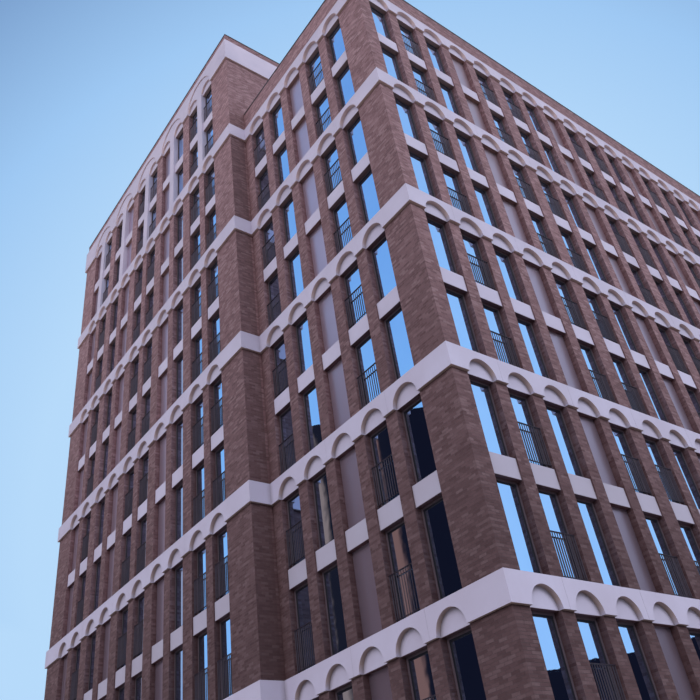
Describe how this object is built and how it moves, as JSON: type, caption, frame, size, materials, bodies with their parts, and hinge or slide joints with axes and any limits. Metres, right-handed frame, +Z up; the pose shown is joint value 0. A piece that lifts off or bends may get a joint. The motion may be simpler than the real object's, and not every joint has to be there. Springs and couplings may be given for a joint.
{
  "type": "commercial building",
  "caption": "Tall corner building of brick piers and white arched bands, with a main block, a higher wing, tall windows and flat parapeted roofs.",
  "frame": {"origin": "middle of the whole building's plan, at ground level", "axes": "+Z up; the long front faces -Y; the side with the wing's front faces -X, and the wing stands at the +Y end of it"},
  "size_m": [29.335, 27.625, 39.67],
  "materials": {
    "brick": "matt brown-red brick",
    "precast": "smooth off-white precast",
    "concrete": "plain concrete",
    "render": "smooth mauve-grey panel",
    "roofing": "grey roof covering",
    "metal": "dark powder coat",
    "glass": "coated window glass"
  },
  "bodies": {
    "root": {"base_course": "precast", "brick_piers_1": "brick", "spandrels_1": "precast", "ring_beam_1": "concrete", "arched_band_1": "precast", "plain_band_1": "precast", "brick_piers_2": "brick", "spandrels_2": "precast", "ring_beam_2": "concrete", "arched_band_2": "precast", "plain_band_2": "precast", "brick_piers_3": "brick", "spandrels_3": "precast", "ring_beam_3": "concrete", "arched_band_3": "precast", "plain_band_3": "precast", "brick_piers_4": "brick", "spandrels_4": "precast", "ring_beam_4": "concrete", "arched_band_4": "precast", "plain_band_4": "precast", "brick_piers_5": "brick", "spandrels_5": "precast", "ring_beam_5": "concrete", "arched_band_5": "precast", "plain_band_5": "precast", "brick_piers_6": "brick", "spandrels_6": "precast", "ring_beam_6": "concrete", "wing_top_band": "precast", "white_inner_piers": "precast", "blind_panels": "render", "glass_front": "glass", "glass_side": "glass", "glass_wing_front": "glass", "glass_rear": "glass", "floor_slabs": "concrete", "main_roof": "roofing", "wing_roof": "roofing", "main_parapet": "brick", "wing_parapet": "brick", "main_coping": "metal", "wing_coping": "metal"}
  },
  "joints": []
}
